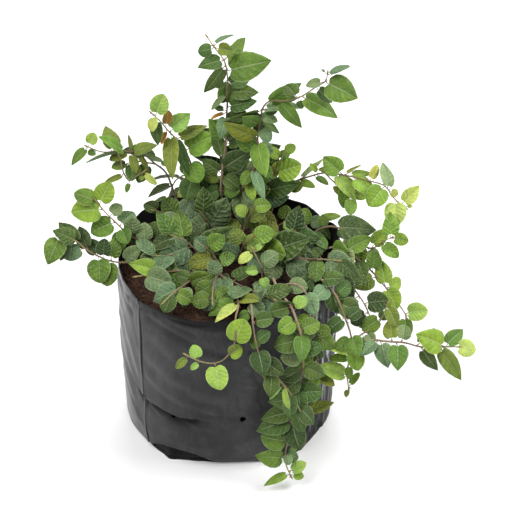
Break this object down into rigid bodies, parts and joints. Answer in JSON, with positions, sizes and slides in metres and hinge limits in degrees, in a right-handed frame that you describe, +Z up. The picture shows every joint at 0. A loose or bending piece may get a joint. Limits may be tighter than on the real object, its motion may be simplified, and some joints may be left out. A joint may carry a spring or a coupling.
{
  "type": "potted creeping fig",
  "caption": "Creeping fig in a black film grow bag: upright leaders, a low leafy mat over the soil, and arching and trailing leafy shoots over the rim.",
  "frame": {"origin": "middle of the grow bag's flat base, on the surface that it stands on", "axes": "+Z up, -Y towards the front shoots that trail over the rim, +X towards the long right-hand trail"},
  "size_m": [0.3034, 0.2106, 0.2983],
  "materials": {
    "black_film": "satin black polythene film with soft creases",
    "coir_soil": "matte red-brown coir and soil crumbs",
    "dark_leaf": "matte dark grey-green leaves with a raised net of veins",
    "mid_leaf": "matte mid-green leaves with pale midribs",
    "bright_leaf": "soft bright yellow-green young leaves"
  },
  "bodies": {
    "root": {"bag": "black_film", "soil": "coir_soil", "leader": "mid_leaf", "front_runner": "bright_leaf", "front_trail": "mid_leaf", "front_middle": "mid_leaf", "right_trail": "mid_leaf", "arch_right": "mid_leaf", "right_high": "dark_leaf", "right_middle": "mid_leaf", "right_low": "dark_leaf", "back_left": "mid_leaf", "upright_left": "mid_leaf", "upright_middle": "dark_leaf", "upright_right": "mid_leaf", "left_high": "mid_leaf", "left_far": "dark_leaf", "mat_back_left": "dark_leaf", "mat_left": "dark_leaf", "mat_front_left": "mid_leaf", "mat_front_middle": "dark_leaf", "mat_centre": "dark_leaf", "mat_centre_back": "bright_leaf", "mat_right": "bright_leaf", "mat_front_right": "dark_leaf", "front_sprout": "bright_leaf", "back_trail_middle": "mid_leaf", "back_trail_right": "mid_leaf", "back_trail_left": "mid_leaf", "back_upright": "dark_leaf"}
  },
  "joints": []
}
